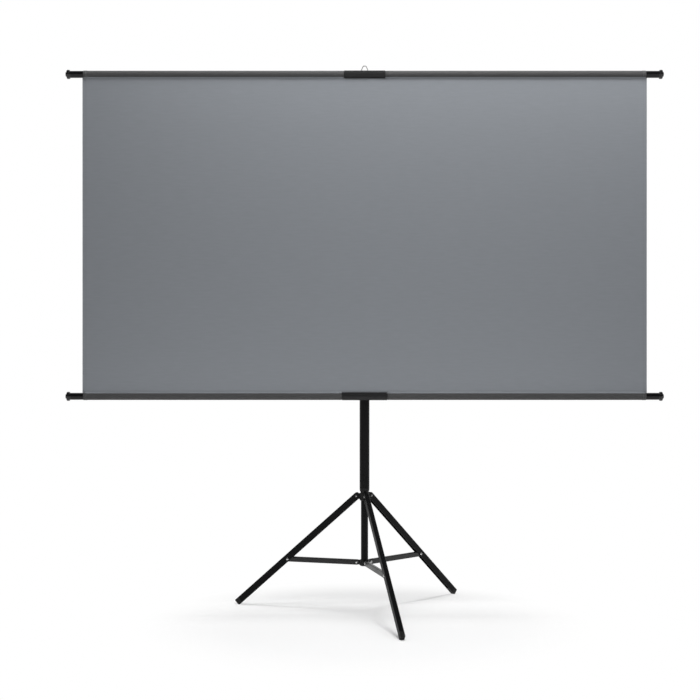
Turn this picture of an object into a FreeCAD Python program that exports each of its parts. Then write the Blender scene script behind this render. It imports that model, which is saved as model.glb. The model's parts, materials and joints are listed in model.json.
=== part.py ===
"""Portable projection screen on a folding tripod stand.

A taut grey fabric is sewn to two rods, one above and one below, and hangs in front of a telescopic
mast.  The mast's wide base tube ends in a collar that carries three channel legs.  A thinner post
slides out of the base tube, and its hub carries three braces that push the legs apart.

Frame: millimetres, +Z up, +X to the viewer's right, +Y away from the viewer.  The origin lies on
the floor under the mast's axis.  The tripod is modelled opened, with its braces level.
"""
import FreeCAD
import Part
import math
import os

# Fits and clearances
SEAT_FIT = 0.02            # pieces that are fixed together
SLIDE_FIT = 0.08           # tubes that slide, pins that turn
SIDE_PLAY = 0.3            # between the cheeks of a hinge
CLIP_PLAY = 0.3            # screen clip round the base tube
TIP_GAP = 0.3              # clamp screw to the tube that it locks
NOTCH_PLAY = 0.4           # fabric round the joiners

# Screen fabric
FABRIC_WIDTH = 1330.0
FABRIC_DROP = 741.5        # bare fabric between the two sleeves
FABRIC_THICKNESS = 0.6
SIDE_HEM_WIDTH = 10.0
SEAM_HEIGHT = 5.0
HEM_THICKNESS = 0.5
SCREEN_OFFSET = 24.0       # mast axis to rod axes, towards the viewer
LOWER_ROD_HEIGHT = 510.8   # floor to the lower rod's axis

# Rods, sleeves, joiners and end caps
ROD_OD = 16.5
ROD_WALL = 1.0
ROD_BARE_END = 30.0        # rod that shows between sleeve and end cap
SLEEVE_INSET = 2.5         # fabric's side edge to the sleeve's end
SLEEVE_WALL = 0.35
JOINER_WALL = 1.0
JOINER_CORE = 22.0         # solid middle between the two rod sockets
JOINER_LIP = 0.8           # chamfer on the joiner's rims
UPPER_JOINER_LENGTH = 97.0
LOWER_JOINER_LENGTH = 107.0
CAP_COLLAR_LENGTH = 2.0
CAP_FLANGE_OD = 21.6
CAP_FLANGE_LENGTH = 7.0
CAP_FLANGE_ROUND = 1.6
CAP_NOSE_OD = 10.6
CAP_NOSE_LENGTH = 2.6
CAP_PLUG_LENGTH = 16.0

# Hanging eye of bent wire
EYE_WIRE = 2.0
EYE_FOOT_SPAN = 15.6
EYE_TOP_SPAN = 6.4
EYE_RISE = 11.4            # upper joiner's top to the wire's top
EYE_DEPTH = 5.0            # wire sunk in the joiner
EYE_BEND = 2.4

# Mast
BASE_TUBE_OD = 23.4
BASE_TUBE_WALL = 1.2
BASE_TUBE_TOP = 760.0
MID_TUBE_OD = 19.0
MID_TUBE_TOP = 1040.0
TOP_TUBE_OD = 15.0
POST_OD = 17.0
TUBE_WALL = 1.0
GUIDE_LENGTH = 18.0
SLIDE_DOWN = 80.0          # travel of each upper section below its photographed place
TUBE_OVERLAP = 110.0       # top tube inside the mid tube
STOP_GAP = 4.0             # between pieces that pass end to end inside a tube

# Screen sockets on the mast
SOCKET_WALL = 2.8
SOCKET_DEPTH = 36.0
SOCKET_RISE = 6.0          # above the upper rod's axis
SOCKET_ROOF = 4.0
BRIDGE_WIDTH = 15.0
BRIDGE_HEIGHT = 13.0
CLIP_WALL = 2.6
CLIP_HEIGHT = 20.0
CLIP_MOUTH = 104.0         # opening angle at the back, in degrees

# Clamp collars and their wing knobs
LOCK_WALL = 3.2
LOCK_GRIP = 16.0           # length over each of the two tubes
LOCK_EDGE = 1.2
LOCK_BOSS_OD = 14.0
LOCK_BOSS_REACH = 7.0
SCREW_OD = 6.0
KNOB_HUB_OD = 15.0
KNOB_HUB_LENGTH = 12.0
KNOB_GAP = 1.2
KNOB_CAP = 3.0             # knob material beyond the screw's head end
KNOB_WING_SPAN = 40.0
KNOB_WING_THICKNESS = 6.0
KNOB_WING_TIP = 9.0        # diameter of the rounded wing ends
KNOB_WING_LIFT = 7.0       # wing tips stand out beyond the hub

# Tripod
LEG_AZIMUTHS = {"front": -76.0, "right": 44.0, "left": 164.0}
LEG_SPREAD = 48.4          # leg from the vertical, opened
LEG_FOLDED = 4.0           # leg from the vertical, folded
LEG_LENGTH = 406.0         # collar pivot to the end of the foot
PIVOT_RADIUS = 18.6        # mast axis to the leg pivots and to the brace pivots
BRACE_PIN_ALONG = 234.0    # collar pivot to the brace pin, along the leg
BRACE_PIN_DROP = 3.0       # brace pin below the leg's middle line
LEG_WIDTH = 11.0
LEG_DEPTH = 15.6
LEG_WALL = 1.2
LEG_CORNER = 2.6
LEG_HEAD = 6.0             # leg beyond its pivot
LEG_HEAD_ROUND = 4.5
FOOT_LENGTH = 12.0
FOOT_TONGUE = 16.0
FOOT_EDGE = 1.5
FOOT_TRIM = 2.0            # depth of the flat where the foot stands
BRACE_HEIGHT = 12.2
BRACE_WALL = 1.0
BRACE_CORNER = 2.0
BRACE_END = 6.0            # brace beyond its pins
BRACE_WEB_CUT = 10.0       # web cut back from each pin

# Leg collar and spreader hub
COLLAR_OD = 22.8
COLLAR_BELOW = 10.5
COLLAR_ABOVE = 7.5
NECK_OD = 19.2
NECK_HEIGHT = 2.0
CONE_HEIGHT = 8.5
CONE_BULGE = 0.8           # share of the cone's flare reached at its bulge
SPIGOT_HEIGHT = 12.0
COLLAR_LUG_ROUND = 6.0
HUB_OD = 23.6
HUB_BELOW = 8.0
HUB_ABOVE = 6.5
HUB_FLOOR = 3.5
HUB_LUG_ROUND = 5.4
MOULD_EDGE = 1.0

# Rivets
RIVET_OD = 3.6
RIVET_HEAD_OD = 6.2
RIVET_HEAD_HEIGHT = 1.9
RIVET_GAP = 0.1            # head to a cheek that turns under it

# Derived places and sizes
spread = math.radians(LEG_SPREAD)
folded = math.radians(LEG_FOLDED)
sleeve_od = ROD_OD + 2 * (SEAT_FIT + SLEEVE_WALL)
upper_rod_z = LOWER_ROD_HEIGHT + sleeve_od + FABRIC_DROP
joiner_od = ROD_OD + 2 * (SEAT_FIT + JOINER_WALL)
sleeve_end = FABRIC_WIDTH / 2 - SLEEVE_INSET
rod_end = sleeve_end + ROD_BARE_END

collar_z = LEG_LENGTH * math.cos(spread) + LEG_DEPTH / 2 * math.sin(spread) - FOOT_TRIM
brace_reach = BRACE_PIN_ALONG * math.sin(spread) - BRACE_PIN_DROP * math.cos(spread)
brace_fall = BRACE_PIN_ALONG * math.cos(spread) + BRACE_PIN_DROP * math.sin(spread)
hub_z = collar_z - brace_fall
pin_distance = math.hypot(BRACE_PIN_ALONG, BRACE_PIN_DROP)
pin_angle_folded = folded - math.atan2(BRACE_PIN_DROP, BRACE_PIN_ALONG)
brace_lift = math.acos(pin_distance * math.sin(pin_angle_folded) / brace_reach)
fold_travel = (pin_distance * math.cos(pin_angle_folded)
               + brace_reach * math.sin(brace_lift) - brace_fall)

leg_inner_width = LEG_WIDTH - 2 * LEG_WALL
brace_width = leg_inner_width - 2 * SIDE_PLAY
collar_lug_width = leg_inner_width - 2 * SIDE_PLAY
hub_lug_width = brace_width - 2 * BRACE_WALL - 2 * SIDE_PLAY

base_tube_bottom = collar_z + COLLAR_ABOVE + NECK_HEIGHT + CONE_HEIGHT
spigot_top = base_tube_bottom + SPIGOT_HEIGHT
post_bottom = hub_z - HUB_BELOW + HUB_FLOOR
post_top = spigot_top + STOP_GAP + fold_travel + GUIDE_LENGTH
mid_tube_bottom = post_top + STOP_GAP + SLIDE_DOWN
socket_roof_z = upper_rod_z + SOCKET_RISE
top_tube_top = socket_roof_z - SOCKET_ROOF
top_tube_bottom = MID_TUBE_TOP - TUBE_OVERLAP
base_tube_id = BASE_TUBE_OD - 2 * BASE_TUBE_WALL
mid_tube_id = MID_TUBE_OD - 2 * TUBE_WALL

ORIGIN = FreeCAD.Vector(0, 0, 0)
X_AXIS = FreeCAD.Vector(1, 0, 0)
Y_AXIS = FreeCAD.Vector(0, 1, 0)
Z_AXIS = FreeCAD.Vector(0, 0, 1)


def box(low, high):
    """Box between two corners."""
    size = [h - l for l, h in zip(low, high)]
    return Part.makeBox(*size, FreeCAD.Vector(*low))


def cylinder(radius, start, end):
    """Cylinder between two points."""
    start = FreeCAD.Vector(*start)
    run = FreeCAD.Vector(*end).sub(start)
    return Part.makeCylinder(radius, run.Length, start, run)


def tube(outer_od, inner_od, start, end):
    """Hollow cylinder between two points."""
    return cylinder(outer_od / 2, start, end).cut(cylinder(inner_od / 2, start, end))


def turned(points):
    """Solid turned about Z from an outline of (radius, height) points."""
    outline = [FreeCAD.Vector(radius, 0, height) for radius, height in points]
    face = Part.Face(Part.makePolygon(outline + outline[:1]))
    return face.revolve(ORIGIN, Z_AXIS, 360)


def side_prism(points, width):
    """Prism across Y from an outline of (x, z) points, centred on Y = 0."""
    outline = [FreeCAD.Vector(x, -width / 2, z) for x, z in points]
    face = Part.Face(Part.makePolygon(outline + outline[:1]))
    return face.extrude(FreeCAD.Vector(0, width, 0))


def edges_along(shape, axis, test):
    """Straight edges parallel to an axis whose middle point passes a test."""
    picked = []
    for edge in shape.Edges:
        if edge.Curve.TypeId != "Part::GeomLine":
            continue
        if abs(abs(edge.Curve.Direction.dot(axis)) - 1) < 1e-6 and test(edge.CenterOfMass):
            picked.append(edge)
    return picked


def turn_about_mast(shape, azimuth):
    """Copy of a shape turned about the mast's axis."""
    turned_copy = shape.copy()
    turned_copy.rotate(ORIGIN, Z_AXIS, azimuth)
    return turned_copy


def place_on_leg(shape, azimuth):
    """Move a shape from the leg's own frame (X down the leg, Z out) to its opened place."""
    placed = shape.copy()
    placed.rotate(ORIGIN, Y_AXIS, 90 - LEG_SPREAD)
    placed.translate(FreeCAD.Vector(PIVOT_RADIUS, 0, collar_z))
    return turn_about_mast(placed, azimuth)


def place_on_brace(shape, azimuth):
    """Move a shape from the brace's own frame (X outward from the hub pin) to its place."""
    placed = shape.copy()
    placed.translate(FreeCAD.Vector(PIVOT_RADIUS, 0, hub_z))
    return turn_about_mast(placed, azimuth)


def channel(x_start, x_end, width, height, wall, corner):
    """U-channel along X with its web on top and rounded outer corners."""
    half_width = width / 2
    half_height = height / 2
    outer = box((x_start, -half_width, -half_height), (x_end, half_width, half_height))
    outer = outer.makeFillet(corner, edges_along(outer, X_AXIS, lambda p: p.z > 0))
    inner = box((x_start, wall - half_width, -half_height), (x_end, half_width - wall, half_height - wall))
    inner = inner.makeFillet(corner - wall, edges_along(inner, X_AXIS, lambda p: p.z > 0))
    return outer.cut(inner)


def rivet_head(seat):
    """Domed head about Y whose flat side lies at y = seat: a cap cut from a ball."""
    rim = RIVET_HEAD_OD / 2
    crown = seat + RIVET_HEAD_HEIGHT
    ball = (rim ** 2 + RIVET_HEAD_HEIGHT ** 2) / (2 * RIVET_HEAD_HEIGHT)
    dome = Part.makeSphere(ball, FreeCAD.Vector(0, crown - ball, 0))
    return dome.common(box((-ball, seat, -ball), (ball, crown + ball, ball)))


def mirrored(shape):
    """Copy of a shape mirrored across Y = 0."""
    return shape.mirror(ORIGIN, Y_AXIS)


def through_rivet(seat):
    """Rivet along Y with a domed head at each end, seated at y = seat and y = -seat."""
    head = rivet_head(seat)
    shank = cylinder(RIVET_OD / 2, (0, -seat, 0), (0, seat, 0))
    return shank.fuse([head, mirrored(head)]).removeSplitter()


def rivet_hole(play):
    """Cutter for a rivet's hole along Y, wider than any piece it passes."""
    return cylinder(RIVET_OD / 2 + play, (0, -LEG_WIDTH, 0), (0, LEG_WIDTH, 0))


def moved(shape, x, y, z):
    """Copy of a shape, shifted."""
    shifted = shape.copy()
    shifted.translate(FreeCAD.Vector(x, y, z))
    return shifted


# Legs, feet and braces

def leg():
    """Channel leg, open towards the post, with a rounded head and holes for its two pins."""
    blank = channel(-LEG_HEAD, LEG_LENGTH - FOOT_LENGTH, LEG_WIDTH, LEG_DEPTH, LEG_WALL, LEG_CORNER)
    half = LEG_DEPTH / 2
    side = box((-LEG_HEAD, -LEG_WIDTH, -half), (LEG_LENGTH, LEG_WIDTH, half))
    side = side.makeFillet(LEG_HEAD_ROUND, edges_along(side, Y_AXIS, lambda p: p.x < 0))
    pin_hole = moved(rivet_hole(SEAT_FIT), BRACE_PIN_ALONG, 0, -BRACE_PIN_DROP)
    return blank.common(side).cut([rivet_hole(SEAT_FIT), pin_hole])


def foot():
    """Moulded foot: a cap as wide as the leg, with a tongue that plugs the channel."""
    half_width = LEG_WIDTH / 2
    half_depth = LEG_DEPTH / 2
    start = LEG_LENGTH - FOOT_LENGTH
    cap = box((start, -half_width, -half_depth), (LEG_LENGTH, half_width, half_depth))
    cap = cap.makeFillet(LEG_CORNER, edges_along(cap, X_AXIS, lambda p: p.z > 0))
    rim = [e for e in cap.Edges if abs(e.CenterOfMass.x - LEG_LENGTH) < 1e-6]
    cap = cap.makeChamfer(FOOT_EDGE, rim)
    tongue_half = leg_inner_width / 2 - SEAT_FIT
    tongue_top = half_depth - LEG_WALL - SEAT_FIT
    tongue = box((start - FOOT_TONGUE, -tongue_half, -half_depth), (start, tongue_half, tongue_top))
    tongue = tongue.makeFillet(LEG_CORNER - LEG_WALL, edges_along(tongue, X_AXIS, lambda p: p.z > 0))
    return cap.fuse(tongue).removeSplitter()


def brace():
    """Channel brace, open below, whose web stops short of the two pins."""
    end = brace_reach + BRACE_END
    bar = channel(-BRACE_END, end, brace_width, BRACE_HEIGHT, BRACE_WALL, BRACE_CORNER)
    half = BRACE_HEIGHT / 2
    side = box((-BRACE_END, -LEG_WIDTH, -half), (end, LEG_WIDTH, half))
    round_end = min(BRACE_END, half) * 0.98
    side = side.makeFillet(round_end, edges_along(side, Y_AXIS, lambda p: True))
    slot = brace_width / 2 - BRACE_WALL
    near = box((-BRACE_END, -slot, -half), (BRACE_WEB_CUT, slot, half))
    far = box((brace_reach - BRACE_WEB_CUT, -slot, -half), (end, slot, half))
    holes = [rivet_hole(SLIDE_FIT), moved(rivet_hole(SLIDE_FIT), brace_reach, 0, 0)]
    return bar.common(side).cut([near, far] + holes)


def collar_rivet_pair():
    """The two visible ends of a collar rivet, one in each cheek of the leg."""
    seat = LEG_WIDTH / 2
    stub = cylinder(RIVET_OD / 2, (0, leg_inner_width / 2, 0), (0, seat, 0))
    end = rivet_head(seat).fuse(stub).removeSplitter()
    return Part.makeCompound([end, mirrored(end)])


# Collar and hub

def lug(width, nose, root_low, root_high):
    """Lug along X from the mast's axis to a rounded nose about the pivot."""
    outline = [(0, root_low), (PIVOT_RADIUS, -nose), (PIVOT_RADIUS, nose), (0, root_high)]
    rounded = cylinder(nose, (PIVOT_RADIUS, -width / 2, 0), (PIVOT_RADIUS, width / 2, 0))
    return side_prism(outline, width).fuse(rounded)


def three_lugs(body, one_lug, height, play):
    """Fuse a lug to a turned body under each leg, then drill its rivet hole."""
    drill = moved(rivet_hole(play), PIVOT_RADIUS, 0, 0)
    bored = moved(one_lug.cut(drill), 0, 0, height)
    return body.fuse([turn_about_mast(bored, a) for a in LEG_AZIMUTHS.values()]).removeSplitter()


def leg_collar():
    """Collar at the foot of the base tube: cone and spigot above, lugs below, bored for the post."""
    bottom = collar_z - COLLAR_BELOW
    shoulder = collar_z + COLLAR_ABOVE
    neck_top = shoulder + NECK_HEIGHT
    radius = COLLAR_OD / 2
    spigot = base_tube_id / 2 - SEAT_FIT
    bulge = NECK_OD / 2 + CONE_BULGE * (BASE_TUBE_OD - NECK_OD) / 2
    bulge_z = neck_top + (1 - CONE_BULGE) * 2 * CONE_HEIGHT
    body = turned([
        (0, bottom), (radius - MOULD_EDGE, bottom), (radius, bottom + MOULD_EDGE),
        (radius, shoulder - MOULD_EDGE), (radius - MOULD_EDGE, shoulder), (NECK_OD / 2, shoulder),
        (NECK_OD / 2, neck_top), (bulge, bulge_z), (BASE_TUBE_OD / 2, base_tube_bottom),
        (spigot, base_tube_bottom),
        (spigot, spigot_top - MOULD_EDGE), (spigot - MOULD_EDGE, spigot_top), (0, spigot_top),
    ])
    one_lug = lug(collar_lug_width, COLLAR_LUG_ROUND, -COLLAR_BELOW + MOULD_EDGE, COLLAR_ABOVE - MOULD_EDGE)
    solid = three_lugs(body, one_lug, collar_z, SLIDE_FIT)
    bore = cylinder(POST_OD / 2 + SLIDE_FIT, (0, 0, bottom), (0, 0, spigot_top))
    return solid.cut(bore)


def spreader_hub():
    """Cup on the post's lower end with a lug for each brace."""
    bottom = hub_z - HUB_BELOW
    top = hub_z + HUB_ABOVE
    radius = HUB_OD / 2
    body = turned([
        (0, bottom), (radius - 2 * MOULD_EDGE, bottom), (radius, bottom + 2 * MOULD_EDGE),
        (radius, top - MOULD_EDGE), (radius - MOULD_EDGE, top), (0, top),
    ])
    one_lug = lug(hub_lug_width, HUB_LUG_ROUND, -HUB_BELOW + 2 * MOULD_EDGE, HUB_ABOVE - MOULD_EDGE)
    solid = three_lugs(body, one_lug, hub_z, SEAT_FIT)
    socket = cylinder(POST_OD / 2 + SEAT_FIT, (0, 0, post_bottom), (0, 0, top))
    return solid.cut(socket)


def hub_rivets():
    """One rivet through each hub lug and the brace's cheeks."""
    one = moved(through_rivet(brace_width / 2 + RIVET_GAP), PIVOT_RADIUS, 0, hub_z)
    return Part.makeCompound([turn_about_mast(one, a) for a in LEG_AZIMUTHS.values()])


# Mast sections and their clamps

def mast_tube(od, wall, low, high):
    """Plain tube on the mast's axis."""
    return tube(od, od - 2 * wall, (0, 0, low), (0, 0, high))


def guide_ring(tube_od, bore, low):
    """Bush fixed on a tube's end, sliding in the bore round it."""
    inner = tube_od + 2 * SEAT_FIT
    return tube(bore - 2 * SLIDE_FIT, inner, (0, 0, low), (0, 0, low + GUIDE_LENGTH))


def clamp_collar(lower_od, upper_od, seam):
    """Clamp on a tube's top end, bored for the next tube, with a boss at the back for its screw."""
    radius = lower_od / 2 + LOCK_WALL
    low = seam - LOCK_GRIP
    high = seam + LOCK_GRIP
    body = turned([
        (0, low), (radius - LOCK_EDGE, low), (radius, low + LOCK_EDGE),
        (radius, high - LOCK_EDGE), (radius - LOCK_EDGE, high), (0, high),
    ])
    boss_z = seam + LOCK_GRIP / 2
    boss = cylinder(LOCK_BOSS_OD / 2, (0, 0, boss_z), (0, radius + LOCK_BOSS_REACH, boss_z))
    seat = cylinder(lower_od / 2 + SEAT_FIT, (0, 0, low), (0, 0, seam))
    bore = cylinder(upper_od / 2 + SLIDE_FIT, (0, 0, low), (0, 0, high))
    thread = cylinder(SCREW_OD / 2 + SLIDE_FIT, (0, 0, boss_z), (0, radius + 2 * LOCK_BOSS_REACH, boss_z))
    return body.fuse(boss).removeSplitter().cut([seat, bore, thread])


def knob_start(lower_od):
    """Distance from the mast's axis to the near face of a wing knob."""
    return lower_od / 2 + LOCK_WALL + LOCK_BOSS_REACH + KNOB_GAP


def clamp_screw(lower_od, upper_od, seam):
    """Screw that presses on the inner tube, with its head end moulded into the knob."""
    height = seam + LOCK_GRIP / 2
    tip = upper_od / 2 + TIP_GAP
    head = knob_start(lower_od) + KNOB_HUB_LENGTH - KNOB_CAP
    screw = cylinder(SCREW_OD / 2, (0, tip, height), (0, head, height))
    tip_edges = [e for e in screw.Edges if abs(e.CenterOfMass.y - tip) < 1e-6]
    return screw.makeChamfer(SCREW_OD / 8, tip_edges)


def wing_knob(lower_od, seam):
    """Two-winged knob: a round hub and a waisted wing that sweeps outward."""
    height = seam + LOCK_GRIP / 2
    near = knob_start(lower_od)
    far = near + KNOB_HUB_LENGTH
    hub = cylinder(KNOB_HUB_OD / 2, (0, near, 0), (0, far, 0))
    hub = hub.makeFillet(MOULD_EDGE, hub.Edges[0:1] + hub.Edges[2:3])
    tip = KNOB_WING_SPAN / 2 - KNOB_WING_TIP / 2
    tip_y = far + KNOB_WING_LIFT - KNOB_WING_TIP / 2
    half = KNOB_WING_THICKNESS / 2
    wing = None
    for side in (-1, 1):
        outline = [(0, near + MOULD_EDGE), (side * tip, tip_y - KNOB_WING_TIP / 2),
                   (side * tip, tip_y + KNOB_WING_TIP / 2), (0, far - MOULD_EDGE)]
        corners = [FreeCAD.Vector(x, y, -half) for x, y in outline]
        face = Part.Face(Part.makePolygon(corners + corners[:1]))
        blade = face.extrude(FreeCAD.Vector(0, 0, KNOB_WING_THICKNESS))
        end = cylinder(KNOB_WING_TIP / 2, (side * tip, tip_y, -half), (side * tip, tip_y, half))
        blade = blade.fuse(end)
        wing = blade if wing is None else wing.fuse(blade)
    knob = hub.fuse(wing).removeSplitter()
    bore = cylinder(SCREW_OD / 2 + SEAT_FIT, (0, near, 0), (0, far - KNOB_CAP, 0))
    return moved(knob.cut(bore), 0, 0, height)


# Screen

def joiner_barrel(length, height):
    """Barrel along X that holds the inner ends of two rods."""
    half = length / 2
    axis_y = -SCREEN_OFFSET
    barrel = cylinder(joiner_od / 2, (-half, axis_y, height), (half, axis_y, height))
    rims = [e for e in barrel.Edges if e.Curve.TypeId == "Part::GeomCircle"]
    return barrel.makeChamfer(JOINER_LIP, rims)


def rod_sockets(length, height):
    """Cutters for the two rod sockets of a joiner."""
    half = length / 2
    radius = ROD_OD / 2 + SEAT_FIT
    axis_y = -SCREEN_OFFSET
    return [cylinder(radius, (side * JOINER_CORE / 2, axis_y, height), (side * half, axis_y, height))
            for side in (-1, 1)]


def eye_wire(radius):
    """Hanging eye: a wire bent to a narrow arch, its feet sunk in the upper joiner."""
    joiner_top = upper_rod_z + joiner_od / 2
    top = joiner_top + EYE_RISE - EYE_WIRE / 2
    low = joiner_top - EYE_DEPTH
    foot_x = EYE_FOOT_SPAN / 2
    top_x = EYE_TOP_SPAN / 2
    lean = math.atan2(foot_x - top_x, top - joiner_top)
    foot_low = foot_x + (joiner_top - low) * math.tan(lean)
    turn = math.pi / 2 - lean
    setback = EYE_BEND * math.tan(turn / 2)
    away = FreeCAD.Vector(math.sin(lean), 0, -math.cos(lean))
    corner = FreeCAD.Vector(top_x, -SCREEN_OFFSET, top)
    bend_in = corner.sub(FreeCAD.Vector(setback, 0, 0))
    bend_out = corner.add(away * setback)
    bisector = (away - X_AXIS).normalize()
    sagitta = EYE_BEND / math.cos(turn / 2) - EYE_BEND
    bend_mid = corner.add(bisector * sagitta)
    end = FreeCAD.Vector(foot_low, -SCREEN_OFFSET, low)

    def flip(point):
        return FreeCAD.Vector(-point.x, point.y, point.z)

    path = Part.Wire([
        Part.makeLine(flip(end), flip(bend_out)),
        Part.Arc(flip(bend_out), flip(bend_mid), flip(bend_in)).toShape(),
        Part.makeLine(flip(bend_in), bend_in),
        Part.Arc(bend_in, bend_mid, bend_out).toShape(),
        Part.makeLine(bend_out, end),
    ])
    start_way = flip(bend_out).sub(flip(end))
    section = Part.Wire(Part.makeCircle(radius, flip(end), start_way))
    return path.makePipeShell([section], True, False)


def upper_joiner():
    """Upper joiner: rod barrel in front, blind socket for the mast's top tube behind."""
    low = socket_roof_z - SOCKET_ROOF - SOCKET_DEPTH
    socket_od = TOP_TUBE_OD + 2 * (SLIDE_FIT + SOCKET_WALL)
    cup = cylinder(socket_od / 2, (0, 0, low), (0, 0, socket_roof_z))
    rims = [e for e in cup.Edges if e.Curve.TypeId == "Part::GeomCircle"]
    cup = cup.makeChamfer(MOULD_EDGE, rims)
    half = BRIDGE_WIDTH / 2
    bridge = box((-half, -SCREEN_OFFSET, upper_rod_z - BRIDGE_HEIGHT / 2),
                 (half, 0, upper_rod_z + BRIDGE_HEIGHT / 2 - MOULD_EDGE))
    solid = joiner_barrel(UPPER_JOINER_LENGTH, upper_rod_z).fuse([bridge, cup]).removeSplitter()
    bore = cylinder(TOP_TUBE_OD / 2 + SLIDE_FIT, (0, 0, low), (0, 0, top_tube_top))
    return solid.cut(rod_sockets(UPPER_JOINER_LENGTH, upper_rod_z) + [bore, eye_wire(EYE_WIRE / 2 + SEAT_FIT)])


def lower_joiner():
    """Lower joiner: rod barrel in front, spring clip round the base tube behind."""
    low = LOWER_ROD_HEIGHT - CLIP_HEIGHT / 2
    high = LOWER_ROD_HEIGHT + CLIP_HEIGHT / 2
    inner = BASE_TUBE_OD / 2 + CLIP_PLAY
    outer = inner + CLIP_WALL
    ring = cylinder(outer, (0, 0, low), (0, 0, high))
    half = BRIDGE_WIDTH / 2
    bridge = box((-half, -SCREEN_OFFSET, LOWER_ROD_HEIGHT - BRIDGE_HEIGHT / 2),
                 (half, 0, LOWER_ROD_HEIGHT + BRIDGE_HEIGHT / 2))
    mouth_half = math.radians(CLIP_MOUTH / 2)
    reach = 2 * outer
    side = reach * math.sin(mouth_half)
    back = reach * math.cos(mouth_half)
    corners = [FreeCAD.Vector(x, y, low) for x, y in ((0, 0), (side, back), (-side, back))]
    mouth = Part.Face(Part.makePolygon(corners + corners[:1])).extrude(FreeCAD.Vector(0, 0, CLIP_HEIGHT))
    bore = cylinder(inner, (0, 0, low), (0, 0, high))
    lip_r = CLIP_WALL / 2
    lip_at = inner + lip_r
    lips = []
    for way in (-1, 1):
        x = way * lip_at * math.sin(mouth_half)
        y = lip_at * math.cos(mouth_half)
        lips.append(cylinder(lip_r, (x, y, low), (x, y, high)))
    clip = ring.fuse(bridge).cut([bore, mouth]).fuse(lips)
    solid = joiner_barrel(LOWER_JOINER_LENGTH, LOWER_ROD_HEIGHT).fuse(clip).removeSplitter()
    return solid.cut(rod_sockets(LOWER_JOINER_LENGTH, LOWER_ROD_HEIGHT))


def along_rod(side, height, start, end, outer_od, inner_od):
    """Tube on a rod's axis, from start to end measured out from the mast."""
    near = (side * start, -SCREEN_OFFSET, height)
    far = (side * end, -SCREEN_OFFSET, height)
    return tube(outer_od, inner_od, near, far)


def end_cap(side, height):
    """Glossy cap on a rod's end: short collar, rounded flange, nose, and a plug in the rod."""
    collar = ROD_OD / 2
    flange = CAP_FLANGE_OD / 2
    nose = CAP_NOSE_OD / 2
    plug = ROD_OD / 2 - ROD_WALL - SEAT_FIT
    collar_end = CAP_COLLAR_LENGTH
    flange_end = collar_end + CAP_FLANGE_LENGTH
    nose_end = flange_end + CAP_NOSE_LENGTH
    cap = turned([
        (0, -CAP_PLUG_LENGTH), (plug, -CAP_PLUG_LENGTH), (plug, 0), (collar, 0),
        (collar, collar_end), (flange, collar_end), (flange, flange_end), (nose, flange_end),
        (nose, nose_end), (0, nose_end),
    ])
    rims = [e for e in cap.Edges if e.Curve.TypeId == "Part::GeomCircle"
            and abs(e.Curve.Radius - flange) < 1e-6]
    cap = cap.makeFillet(CAP_FLANGE_ROUND, rims)
    cap.rotate(ORIGIN, Y_AXIS, side * 90)
    return moved(cap, side * rod_end, -SCREEN_OFFSET, height)


def joiner_notches():
    """Room for the two joiners in the fabric's edges."""
    cutters = []
    for length, height in ((UPPER_JOINER_LENGTH, upper_rod_z), (LOWER_JOINER_LENGTH, LOWER_ROD_HEIGHT)):
        half = length / 2 + NOTCH_PLAY
        radius = joiner_od / 2 + NOTCH_PLAY
        cutters.append(cylinder(radius, (-half, -SCREEN_OFFSET, height), (half, -SCREEN_OFFSET, height)))
    return cutters


def fabric_strip(x_low, x_high, layer_low, layer_high, z_low, z_high):
    """Flat piece of cloth; layers are distances behind the fabric's middle plane."""
    flat = box((x_low, layer_low - SCREEN_OFFSET, z_low), (x_high, layer_high - SCREEN_OFFSET, z_high))
    return flat.cut(joiner_notches())


def screen_cloth():
    """The taut panel with the seams along its rods and the hems down its sides."""
    half = FABRIC_WIDTH / 2
    low = LOWER_ROD_HEIGHT + sleeve_od / 2
    high = upper_rod_z - sleeve_od / 2
    face = FABRIC_THICKNESS / 2
    proud = face + HEM_THICKNESS
    return {
        "screen_fabric": fabric_strip(-half, half, -face, face, low, high),
        "upper_seam": fabric_strip(-half, half, -proud, -face, high - SEAM_HEIGHT, high),
        "lower_seam": fabric_strip(-half, half, -proud, -face, low, low + SEAM_HEIGHT),
        "side_hem_left": fabric_strip(-half, -half + SIDE_HEM_WIDTH, face, proud, low, high),
        "side_hem_right": fabric_strip(half - SIDE_HEM_WIDTH, half, face, proud, low, high),
    }


def screen_rods():
    """Half rods, their sewn sleeves and their end caps."""
    pieces = {}
    levels = (("upper", upper_rod_z, UPPER_JOINER_LENGTH), ("lower", LOWER_ROD_HEIGHT, LOWER_JOINER_LENGTH))
    for level, height, joiner_length in levels:
        for name, side in (("left", -1), ("right", 1)):
            rod_id = ROD_OD - 2 * ROD_WALL
            sleeve_id = ROD_OD + 2 * SEAT_FIT
            sleeve_start = joiner_length / 2 + NOTCH_PLAY
            key = level + "_" + "{}" + "_" + name
            pieces[key.format("rod")] = along_rod(side, height, JOINER_CORE / 2, rod_end, ROD_OD, rod_id)
            pieces[key.format("sleeve")] = along_rod(
                side, height, sleeve_start, sleeve_end, sleeve_od, sleeve_id)
            pieces[key.format("end_cap")] = end_cap(side, height)
    return pieces


# Assembly

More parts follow.
